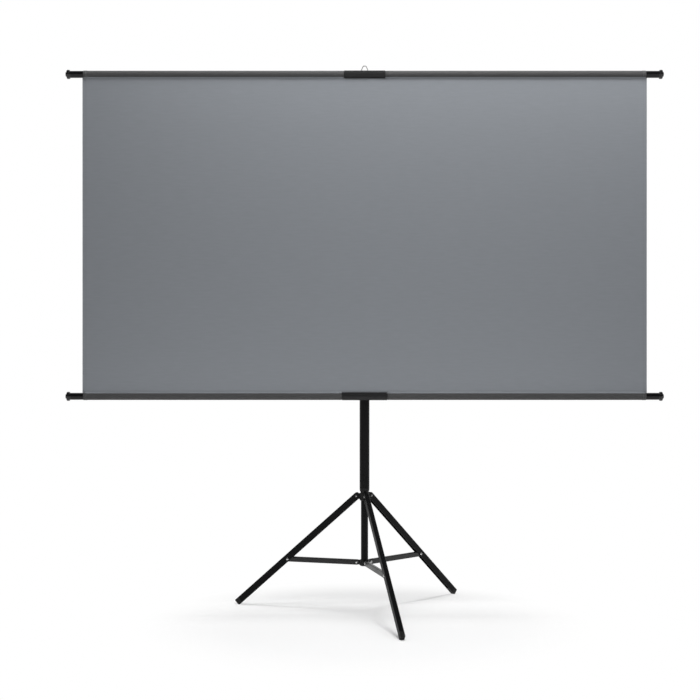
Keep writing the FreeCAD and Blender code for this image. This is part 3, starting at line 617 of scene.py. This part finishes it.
# %% Swell and steps of the cloth
SWELL = 1.1 * MM                 # largest bow of the cloth
SWELL_HOLD = 0.6                 # under 1, so the bow dies out only close to the rods
SLOW_WAVES = (2.3, 1.4)          # how fast the noise changes in a metre, across and down
RIPPLES = (9.0, 1.2)
RIPPLE_SHARE = 0.25
SLOW_SEED = 3.1
RIPPLE_SEED = 7.7
JOINER_EDGE = 9.3 * MM           # rod axis to the cloth's edge at a joiner


def waves(x, z, rates, seed):
    """Smooth noise over the cloth, between about -1 and 1."""
    return noise.noise(Vector((x * rates[0], z * rates[1], seed)))


def swell(x, z):
    """How far the taut cloth bows at a place, nothing at the rods."""
    height = (z - panel_low.z) / (panel_high.z - panel_low.z)
    hold = max(0.0, math.sin(math.pi * height)) ** SWELL_HOLD
    ripple = RIPPLE_SHARE * waves(x, z, RIPPLES, RIPPLE_SEED)
    return SWELL * hold * (waves(x, z, SLOW_WAVES, SLOW_SEED) + ripple)


def joiner_edge(x, joiner_end):
    """Distance from the rod's axis that the cloth keeps at a place along a joiner."""
    if abs(x) > joiner_end:
        return 0.0
    return JOINER_EDGE - max(0.0, abs(x) - (joiner_end - JOINER_LIP))


def clear_of_joiners(x, z):
    """Height of a cloth point, moved off a joiner where one stands."""
    top = UPPER_ROD.z - joiner_edge(x, UPPER_JOINER_END)
    bottom = LOWER_ROD.z + joiner_edge(x, LOWER_JOINER_END)
    return max(min(z, top), bottom)


bow = [swell(x, z) / MM for x in panel_columns for z in panel_rows]
print("swell from", round(min(bow), 2), "to", round(max(bow), 2), "mm")

# %% [markdown]
# The panel itself is one wide piece of cloth with a front and a back. A plane with a Solidify
# modifier would do, but tapes and hems have to lie on the same swell at an offset. So one function
# builds a closed sheet from columns, rows, offset and thickness, and it serves for all of them.

# %% Screen panel
def end_mesh(name, build):
    """Turn the faces outwards and make a plain mesh of a bmesh."""
    bmesh.ops.recalc_face_normals(build, faces=build.faces)
    mesh = bpy.data.meshes.new(name)
    build.to_mesh(mesh)
    build.free()
    return mesh


def sheet_mesh(name, columns, rows, offset, thickness):
    """Closed thin sheet that follows the cloth at an offset, with UVs in metres."""
    build = bmesh.new()
    uv = build.loops.layers.uv.new("cloth")

    def side_points(depth):
        return [[build.verts.new((x, cloth_plane + swell(x, z) + depth, clear_of_joiners(x, z)))
                 for x in columns] for z in rows]

    front = side_points(offset - thickness / 2)
    back = side_points(offset + thickness / 2)
    last_row = len(rows) - 1
    last_column = len(columns) - 1
    for i in range(last_row):
        for j in range(last_column):
            build.faces.new((front[i][j], front[i][j + 1], front[i + 1][j + 1], front[i + 1][j]))
            build.faces.new((back[i][j], back[i + 1][j], back[i + 1][j + 1], back[i][j + 1]))
    rim = [(0, j) for j in range(last_column)]
    rim += [(i, last_column) for i in range(last_row)]
    rim += [(last_row, j) for j in range(last_column, 0, -1)]
    rim += [(i, 0) for i in range(last_row, 0, -1)]
    for (i, j), (m, n) in zip(rim, rim[1:] + rim[:1]):
        build.faces.new((front[i][j], back[i][j], back[m][n], front[m][n]))
    for face in build.faces:
        for loop in face.loops:
            loop[uv].uv = (loop.vert.co.x, loop.vert.co.z)
    return end_mesh(name, build)


def finish_piece(name, mesh, material, body, stands_for=()):
    """Link a mesh as a piece of the object, with its finish, its body and what it replaces."""
    piece = bpy.data.objects.new(name, mesh)
    bpy.context.scene.collection.objects.link(piece)
    mesh.materials.clear()
    mesh.materials.append(material)
    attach(piece, body)
    if stands_for:
        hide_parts(*stands_for)
    return piece


panel_mesh = sheet_mesh("screen_panel", panel_columns, panel_rows, 0.0, cloth_thickness)
screen_panel = finish_piece("screen_panel", panel_mesh, SCREEN_GREY, "screen",
                            ("screen_fabric",))
print("screen panel:", len(panel_mesh.polygons), "faces")

# %% [markdown]
# ## Seams and side hems
#
# Along each rod a tape covers the sewn edge in front, and down each side the cloth is turned over
# behind and sewn. Plain flat strips would cut through the swell, so they are sheets too, which follow
# the panel at half of both thicknesses, and no light shows between the layers.

# %% Seam tapes and hems
LONG_SIDE = 0.1                  # a strip wider than this runs along a rod
STRIP_COLUMN = 2.5 * MM
STRIP_ROW = 1.25 * MM


def layer_sheet(name, node, finish, behind):
    """Thin strip over a CAD strip's place, lying on the panel's front or back face."""
    low, high = corners(node)
    thickness = high.y - low.y
    gap = (cloth_thickness + thickness) / 2
    if high.x - low.x > LONG_SIDE:
        columns = with_joiner_breaks(steps(low.x, high.x, CELL))
        rows = steps(low.z, high.z, STRIP_ROW)
    else:
        columns = steps(low.x, high.x, STRIP_COLUMN)
        rows = steps(low.z, high.z, CELL)
    mesh = sheet_mesh(name, columns, rows, gap if behind else -gap, thickness)
    return finish_piece(name, mesh, finish, "screen", (node,))


upper_tape = layer_sheet("upper_seam_tape", "upper_seam", SEAM_GREY, behind=False)
lower_tape = layer_sheet("lower_seam_tape", "lower_seam", SEAM_GREY, behind=False)
left_hem = layer_sheet("left_turned_hem", "side_hem_left", SCREEN_GREY, behind=True)
right_hem = layer_sheet("right_turned_hem", "side_hem_right", SCREEN_GREY, behind=True)
print("seams and hems:", [piece.name for piece in (upper_tape, lower_tape, left_hem, right_hem)])

# %% [markdown]
# ## Sewn sleeves
#
# A sleeve is a strip of tape wrapped round the rod and sewn to the cloth, so its section is a drop:
# round over the rod and drawn to a point at the seam. The tape also puckers, most of all beside the
# seam, and its outer end is turned in, which makes a thicker rim. Puckers could be sculpted, but
# noise does it evenly along four sleeves, so the section and its lift are formulas.

# %% Sleeve section
SLEEVE_POINT = math.radians(24)  # half angle where the tape leaves the rod for the seam
PUCKER = 0.16 * MM
PUCKER_RATES = (45.0, 2.2)       # how fast it changes in a metre of rod, and round the rod
SEAM_PUCKER = 1.6 * PUCKER       # deeper and tighter beside the seam
SEAM_PUCKER_RATE = 130.0
SEAM_PUCKER_REACH = 0.9          # radians from the seam in which it fades
SEAM_PUCKER_SEED = 4.0           # keeps the two noises apart
RIM_LENGTH = 9.0 * MM            # turned-in end
RIM_RISE = 0.35 * MM
RIM_START = 0.05 * RIM_LENGTH    # the very edge stays thin


def drop_section(radius, angle):
    """Distance from the rod's axis to the tape, at an angle from the seam's direction."""
    return radius / math.cos(max(0.0, SLEEVE_POINT - abs(angle)))


def tape_lift(x, angle, rim_place, seed):
    """How far the outer face stands off the drop: puckers, and the thicker rim."""
    along, around = PUCKER_RATES
    pucker = PUCKER * noise.noise(Vector((x * along, around * math.cos(angle), seed)))
    near_seam = math.exp(-(angle / SEAM_PUCKER_REACH) ** 2)
    tight = noise.noise(Vector((x * SEAM_PUCKER_RATE, angle, seed + SEAM_PUCKER_SEED)))
    pucker += SEAM_PUCKER * near_seam * tight
    on_rim = RIM_START < abs(rim_place - x) < RIM_LENGTH
    return max(0.0, pucker) + (RIM_RISE if on_rim else 0.0)


sleeve_low, sleeve_high = corners("upper_sleeve_left")
sleeve_radius = (sleeve_high.y - sleeve_low.y) / 2
sleeve_point = drop_section(sleeve_radius, 0.0)
print("sleeve radius", round(sleeve_radius / MM, 2), "mm, point at", round(sleeve_point / MM, 2), "mm")

# %% [markdown]
# A curve with a bevel profile could sweep the drop, but every point has its own lift. So rings of
# points are laid along the rod, once for the outer face and once for the inner, and joined by faces.
# A few more rings at the outer end give the rim its steps.

# %% Sleeves
SLEEVE_RING = 40                 # points round the sleeve
SLEEVE_STEP = 9.0 * MM           # spacing along the rod
SLEEVE_WALL = 0.30 * MM          # the tape's thickness
SLEEVE_SEED = 1.7
SLEEVE_SEED_STEP = 5.0           # from the left sleeve to the right one
RIM_RINGS = (0.06, 0.5, 0.94, 1.06)  # extra rings, as shares of the rim's length


def sleeve_rings(build, places, axis, seam_way, radius, lift):
    """Rings of points along one face of a sleeve."""
    rings = []
    for x in places:
        ring = []
        for k in range(SLEEVE_RING):
            angle = math.tau * k / SLEEVE_RING - math.pi
            reach = drop_section(radius, angle) + lift(x, angle)
            y = axis.y + reach * math.sin(angle)
            z = axis.z + seam_way * reach * math.cos(angle)
            ring.append(build.verts.new((x, y, z)))
        rings.append(ring)
    return rings


def sleeve_piece(name, node, axis, seam_way, seed):
    """Drop-shaped tube of tape over a rod; seam_way is -1 where the seam is below the rod."""
    low, high = corners(node)
    radius = (high.y - low.y) / 2
    outward = 1 if high.x > 0 else -1
    rim_place = high.x if outward > 0 else low.x
    rim_places = [rim_place - outward * RIM_LENGTH * share for share in RIM_RINGS]
    places = sorted(set(steps(low.x, high.x, SLEEVE_STEP) + rim_places))
    last = len(places) - 1
    build = bmesh.new()
    uv = build.loops.layers.uv.new("cloth")
    outer = sleeve_rings(build, places, axis, seam_way, radius,
                         lambda x, angle: tape_lift(x, angle, rim_place, seed))
    inner = sleeve_rings(build, places, axis, seam_way, radius - SLEEVE_WALL, lambda x, angle: 0.0)

    def add_face(points, row, column):
        face = build.faces.new(points)
        face.smooth = True
        for loop, (down, across) in zip(face.loops, ((0, 0), (1, 0), (1, 1), (0, 1))):
            girth = (column + across) / SLEEVE_RING * math.tau * radius
            loop[uv].uv = (places[min(row + down, last)], girth)

    for k in range(SLEEVE_RING):
        n = (k + 1) % SLEEVE_RING
        for rings in (outer, inner):
            for i in range(last):
                add_face((rings[i][k], rings[i + 1][k], rings[i + 1][n], rings[i][n]), i, k)
        for i in (0, last):
            add_face((outer[i][k], outer[i][n], inner[i][n], inner[i][k]), i, k)
    return finish_piece(name, end_mesh(name, build), SLEEVE_GREY, "screen", (node,))


for level, axis, seam_way in (("upper", UPPER_ROD, -1), ("lower", LOWER_ROD, 1)):
    for number, side in enumerate(("left", "right")):
        seed = SLEEVE_SEED + number * SLEEVE_SEED_STEP + seam_way
        sleeve_piece(f"{level}_{side}_tape_sleeve", f"{level}_sleeve_{side}",
                                    axis, seam_way, seed)

# %% [markdown]
# In front, the cloth's own edge is lapped over the sleeve before it is sewn, so the dark band looks a
# little narrower than the sleeve is. A copy of the sleeve's faces would follow its flank, but a lap
# also reaches on to the seam tape. So it has a section of its own: a middle line that starts on the
# tape and goes up the drop, with a thickness to both sides.

# %% Lap section
LAP_REACH = math.radians(35)     # how far round the sleeve the lap goes, from the seam
LAP_FOOT = math.radians(9)       # where it leaves the seam tape for the sleeve
LAP_POINTS = 9                   # points from there to its edge
LAP_TAIL = 2.2 * MM              # part of the lap that lies on the seam tape
LAP_BEND = 0.2 * MM              # where that part ends, from the drop's point
LAP_FORWARD = 1.05 * MM          # that part's middle, in front of the rod's axis
LAP_THICKNESS = 0.35 * MM
LAP_LIFT = 0.28 * MM             # lap's middle above the sleeve's face


def lap_section(radius):
    """Middle line of a lap as (forward, up) from the rod's axis, for a seam below the rod."""
    tip = radius / math.cos(SLEEVE_POINT)
    points = [(LAP_FORWARD, -tip - LAP_TAIL), (LAP_FORWARD, -tip - LAP_BEND)]
    for k in range(LAP_POINTS):
        angle = LAP_FOOT + (LAP_REACH - LAP_FOOT) * k / (LAP_POINTS - 1)
        reach = drop_section(radius, angle) + LAP_LIFT
        points.append((reach * math.sin(angle), -reach * math.cos(angle)))
    return points


def lap_ring(section, wave):
    """Points round a lap's section as (forward, up): along its outer face and back on its inner."""
    last = len(section) - 1
    outer = [(i, 1) for i in range(last + 1)]
    inner = [(i, -1) for i in range(last, -1, -1)]
    ring = []
    for i, side in outer + inner:
        before = Vector(section[max(0, i - 1)])
        after = Vector(section[min(last, i + 1)])
        run = (after - before).normalized()
        forward, up = section[i]
        loose = max(0.0, wave * (i / len(section)) ** 2)
        offset = side * LAP_THICKNESS / 2 + loose
        ring.append((forward + run.y * offset, up - run.x * offset))
    return ring


print("lap section:", len(lap_ring(lap_section(sleeve_radius), 0.0)), "points")

# %% [markdown]
# The section is swept along each sleeve. A curve could do that too, but cloth never lies quite even:
# here and there the lap's edge stands off a little, by a slow noise along the rod, and the weave
# needs a UV map, which is laid face by face.

# %% Laps over the sleeves
LAP_END_GAP = 0.2 * MM           # a lap stops this far inside the sleeve's ends
LAP_STEP = 8.0 * MM              # spacing along the rod
LAP_WAVE = 0.10 * MM             # how far its edge stands off here and there
LAP_WAVE_RATE = 60.0
LAP_SEED = 3.3
LAP_UV_STEP = 0.8 * MM           # distance between its points on the UV map


def lap_piece(name, node, axis, upright, seed):
    """Thin strip along a sleeve's front; upright is 1 where the seam is below the rod, else -1."""
    low, high = corners(node)
    section = lap_section((high.y - low.y) / 2)
    places = steps(low.x + LAP_END_GAP, high.x - LAP_END_GAP, LAP_STEP)
    build = bmesh.new()
    uv = build.loops.layers.uv.new("cloth")
    grid = []
    for x in places:
        wave = LAP_WAVE * noise.noise(Vector((x * LAP_WAVE_RATE, seed, 0.0)))
        grid.append([build.verts.new((x, axis.y - forward, axis.z + upright * up))
                     for forward, up in lap_ring(section, wave)])
    count = len(grid[0])
    for i in range(len(places) - 1):
        for k in range(count):
            n = (k + 1) % count
            face = build.faces.new((grid[i][k], grid[i + 1][k], grid[i + 1][n], grid[i][n]))
            face.smooth = True
            for loop, (along, across) in zip(face.loops, ((0, k), (1, k), (1, k + 1), (0, k + 1))):
                loop[uv].uv = (places[i + along], across * LAP_UV_STEP)
    build.faces.new(grid[0])
    build.faces.new(grid[-1])
    return finish_piece(name, end_mesh(name, build), SEAM_GREY, "screen")


for level, axis, upright in (("upper", UPPER_ROD, 1), ("lower", LOWER_ROD, -1)):
    for number, side in enumerate(("left", "right")):
        lap_piece(f"{level}_{side}_lap", f"{level}_sleeve_{side}",
                              axis, upright, LAP_SEED + number)

# %% [markdown]
# ## Stitches
#
# Seams are held by hundreds of stitches. Setting them one by one in Python would work, but what
# repeats along a line is what Geometry Nodes do best: a mesh of bare edges gives the lines, the tree
# cuts each line at the stitch pitch and sets one small bead of thread on each point, turned along the
# line. Realize Instances and Set Material make them a plain mesh at the end.

# %% Stitch tree
def growth_tree(name, sizes, finish):
    """Geometry Nodes tree that takes a mesh, some sizes and a finish, and gives a mesh."""
    tree = bpy.data.node_groups.new(name, "GeometryNodeTree")
    tree.interface.new_socket("Geometry", in_out="INPUT", socket_type="NodeSocketGeometry")
    for label, value in sizes.items():
        socket = tree.interface.new_socket(label, in_out="INPUT", socket_type="NodeSocketFloat")
        socket.default_value = value
    tree.interface.new_socket(finish, in_out="INPUT", socket_type="NodeSocketMaterial")
    tree.interface.new_socket("Geometry", in_out="OUTPUT", socket_type="NodeSocketGeometry")
    return tree, add_node(tree, "NodeGroupInput"), add_node(tree, "NodeGroupOutput")


def end_growth(tree, copies, given, finish, result):
    """Last nodes of a tree: one plain smooth mesh with its finish."""
    solid = add_node(tree, "GeometryNodeRealizeInstances")
    smooth = add_node(tree, "GeometryNodeSetShadeSmooth")
    dress = add_node(tree, "GeometryNodeSetMaterial")
    wire(tree,
         (copies, "Instances", solid, "Geometry"),
         (solid, "Geometry", smooth, "Geometry"),
         (smooth, "Geometry", dress, "Geometry"),
         (given, finish, dress, "Material"),
         (dress, "Geometry", result, "Geometry"))


def stitch_tree():
    """Beads of thread along every edge chain of the incoming mesh."""
    tree, given, result = growth_tree(
        "sewn_stitches",
        {"Pitch": 4.0 * MM, "Stitch Length": 3.0 * MM, "Thread Width": 0.6 * MM}, "Thread")
    lines = add_node(tree, "GeometryNodeMeshToCurve")
    cut = add_node(tree, "GeometryNodeResampleCurve", mode="LENGTH")
    along = add_node(tree, "GeometryNodeInputTangent")
    turn = add_node(tree, "FunctionNodeAlignRotationToVector", axis="X")
    bead = add_node(tree, "GeometryNodeMeshUVSphere", {"Segments": 6, "Rings": 4, "Radius": 0.5})
    size = add_node(tree, "ShaderNodeCombineXYZ")
    lay = add_node(tree, "GeometryNodeInstanceOnPoints")
    wire(tree,
         (given, "Geometry", lines, "Mesh"),
         (lines, "Curve", cut, "Curve"),
         (given, "Pitch", cut, "Length"),
         (along, "Tangent", turn, "Vector"),
         (given, "Stitch Length", size, "X"),
         (given, "Thread Width", size, "Y"),
         (given, "Thread Width", size, "Z"),
         (cut, "Curve", lay, "Points"),
         (bead, "Mesh", lay, "Instance"),
         (turn, "Rotation", lay, "Rotation"),
         (size, "Vector", lay, "Scale"))
    end_growth(tree, lay, given, "Thread", result)
    return tree


STITCH_TREE = stitch_tree()
print(STITCH_TREE.name, "with", len(STITCH_TREE.nodes), "nodes")

# %% [markdown]
# The rows themselves: one along each seam and one down each side hem, on both faces of the cloth, and
# a ring round the turned-in end of each sleeve. They could be drawn by hand as curves, but worked out
# from the panel's own swell they lie on the cloth wherever it goes.

# %% Stitch rows
SEAM_ROW_DROP = 2.7 * MM         # from the cloth's edge at a rod
SEAM_ROW_GAP = 4.0 * MM          # a seam's row stops this far from the cloth's sides
HEM_ROW_INSET = 8.0 * MM         # in from the cloth's side
HEM_ROW_GAP = 8.0 * MM           # a hem's row stops this far from the cloth's other edges
ROW_STEP = 20.0 * MM             # spacing of a row's points
LAYER = 0.5 * MM                 # thickness of a tape or a turned hem, on the cloth
RIM_ROW_INSET = 7.0 * MM         # in from the sleeve's end
RIM_ROW_POINTS = 40
RIM_ROW_OPENING = 0.5            # radians that a ring leaves free on each side of the seam


def on_cloth(x, z, offset):
    """Place on the swelling cloth, at an offset from its middle."""
    return (x, cloth_plane + swell(x, z) + offset, z)


def seam_rows():
    """Rows along the two seams; the tape lies in front."""
    places = steps(panel_low.x + SEAM_ROW_GAP, panel_high.x - SEAM_ROW_GAP, ROW_STEP)
    return [[on_cloth(x, z, offset) for x in places]
            for z in (panel_high.z - SEAM_ROW_DROP, panel_low.z + SEAM_ROW_DROP)
            for offset in (-cloth_thickness / 2 - LAYER, cloth_thickness / 2)]


def hem_rows():
    """Rows down the two side hems; the turned cloth lies behind."""
    places = steps(panel_low.z + HEM_ROW_GAP, panel_high.z - HEM_ROW_GAP, ROW_STEP)
    return [[on_cloth(x, z, offset) for z in places]
            for x in (panel_low.x + HEM_ROW_INSET, panel_high.x - HEM_ROW_INSET)
            for offset in (-cloth_thickness / 2, cloth_thickness / 2 + LAYER)]


def rim_rows():
    """Rings round the sleeves' turned-in ends."""
    left_end = sleeve_low.x + RIM_ROW_INSET
    right_end = corners("upper_sleeve_right")[1].x - RIM_ROW_INSET
    radius = sleeve_radius + RIM_RISE
    sweep = math.tau - 2 * RIM_ROW_OPENING
    rows = []
    for axis, seam_way in ((UPPER_ROD, -1), (LOWER_ROD, 1)):
        for x in (left_end, right_end):
            ring = []
            for k in range(RIM_ROW_POINTS + 1):
                angle = RIM_ROW_OPENING + sweep * k / RIM_ROW_POINTS
                y = axis.y + radius * math.sin(angle)
                ring.append((x, y, axis.z + seam_way * radius * math.cos(angle)))
            rows.append(ring)
    return rows


stitch_rows = seam_rows() + hem_rows() + rim_rows()
print("rows of stitches:", len(stitch_rows))

# %% [markdown]
# To run a tree from Python, its modifier sits on a carrier object. The inputs are set by the sockets'
# identifiers before the carrier is first evaluated. Applying the modifier would do too, but
# new_from_object takes the result as a plain mesh and leaves nothing live behind.

# %% Sew the rows
STITCH_PITCH = 4.2 * MM
STITCH_LENGTH = 3.2 * MM
THREAD_WIDTH = 0.55 * MM


def grow(name, tree, mesh, values):
    """Run a Geometry Nodes tree on a mesh and return its result as a plain mesh."""
    carrier = bpy.data.objects.new(name + "_carrier", mesh)
    bpy.context.scene.collection.objects.link(carrier)
    modifier = carrier.modifiers.new("grow", "NODES")
    modifier.node_group = tree
    for item in tree.interface.items_tree:
        if item.item_type == "SOCKET" and item.in_out == "INPUT" and item.name in values:
            modifier[item.identifier] = values[item.name]
    graph = bpy.context.evaluated_depsgraph_get()
    plain = bpy.data.meshes.new_from_object(carrier.evaluated_get(graph))
    plain.name = name
    carrier.modifiers.remove(modifier)
    bpy.data.objects.remove(carrier)
    return plain


def line_mesh(name, lines):
    """Mesh of bare edges from lists of points."""
    points = []
    edges = []
    for line in lines:
        start = len(points)
        points.extend(line)
        edges.extend((start + i, start + i + 1) for i in range(len(line) - 1))
    mesh = bpy.data.meshes.new(name)
    mesh.from_pydata(points, edges, [])
    return mesh


stitch_mesh = grow("sewn_rows", STITCH_TREE, line_mesh("stitch_lines", stitch_rows),
                   {"Pitch": STITCH_PITCH, "Stitch Length": STITCH_LENGTH,
                    "Thread Width": THREAD_WIDTH, "Thread": THREAD_GREY})
sewn_rows = finish_piece("sewn_rows", stitch_mesh, THREAD_GREY, "screen")
print("stitches:", len(stitch_mesh.polygons), "faces")

# %% [markdown]
# ## Grip ribs on the wing knobs
#
# Thumbs need something to hold, so the wings of such knobs carry a few moulded ribs. They could be
# cut into the knob's mesh, but that stays as it is. The idea of the stitches serves again: points in,
# one rounded bar on each, realized to one mesh for each knob, since each knob turns by itself.

# %% Rib tree
def rib_tree():
    """Rounded bars along Y, one on each incoming point."""
    tree, given, result = growth_tree(
        "grip_ribs", {"Rib Length": 6.0 * MM, "Rib Radius": 0.5 * MM}, "Plastic")
    bead = add_node(tree, "GeometryNodeMeshUVSphere", {"Segments": 10, "Rings": 8, "Radius": 1.0})
    half_length = add_node(tree, "ShaderNodeMath", {1: 0.5}, operation="MULTIPLY")
    size = add_node(tree, "ShaderNodeCombineXYZ")
    lay = add_node(tree, "GeometryNodeInstanceOnPoints")
    wire(tree,
         (given, "Geometry", lay, "Points"),
         (bead, "Mesh", lay, "Instance"),
         (given, "Rib Length", half_length, 0),
         (given, "Rib Radius", size, "X"),
         (half_length, 0, size, "Y"),
         (given, "Rib Radius", size, "Z"),
         (size, "Vector", lay, "Scale"))
    end_growth(tree, lay, given, "Plastic", result)
    return tree


RIB_TREE = rib_tree()
print(RIB_TREE.name, "with", len(RIB_TREE.nodes), "nodes")

# %% [markdown]
# The ribs stand in a row from each wing's end inwards, on both of its flat faces, each a little nearer
# to the mast than the one before, as the wing slopes. They could be placed by hand, but worked out
# from the knob's box they follow it wherever it stands.

# %% Ribs
WING_TIP = 9.0 * MM              # diameter of a wing's end
WING_THICKNESS = 6.0 * MM
RIB_COUNT = 4
RIB_LENGTH = 6.4 * MM
RIB_RADIUS = 0.55 * MM
RIB_SPACING = 2.1 * MM
RIB_FALL = 0.5 * MM              # towards the mast, from one rib to the next
FIRST_RIB = 0.35 * WING_TIP      # from the wing's end


def rib_places(node):
    """Points on both flat faces of both wings of a knob."""
    low, high = corners(node)
    centre_z = (low.z + high.z) / 2
    tip_y = high.y - WING_TIP / 2
    places = []
    for side in (-1, 1):
        for i in range(RIB_COUNT):
            x = side * (high.x - FIRST_RIB - i * RIB_SPACING)
            for face in (-1, 1):
                places.append((x, tip_y - i * RIB_FALL, centre_z + face * WING_THICKNESS / 2))
    return places


for node, body in (("base_lock_knob", "base_knob"), ("mid_lock_knob", "mid_knob")):
    point_mesh = bpy.data.meshes.new(node + "_rib_places")
    point_mesh.from_pydata(rib_places(node), [], [])
    rib_mesh = grow(node + "_ribs", RIB_TREE, point_mesh,
                    {"Rib Length": RIB_LENGTH, "Rib Radius": RIB_RADIUS, "Plastic": MOULDED_BLACK})
    ribs = finish_piece(node + "_ribs", rib_mesh, MOULDED_BLACK, body)
    print(ribs.name, len(rib_mesh.polygons), "faces")
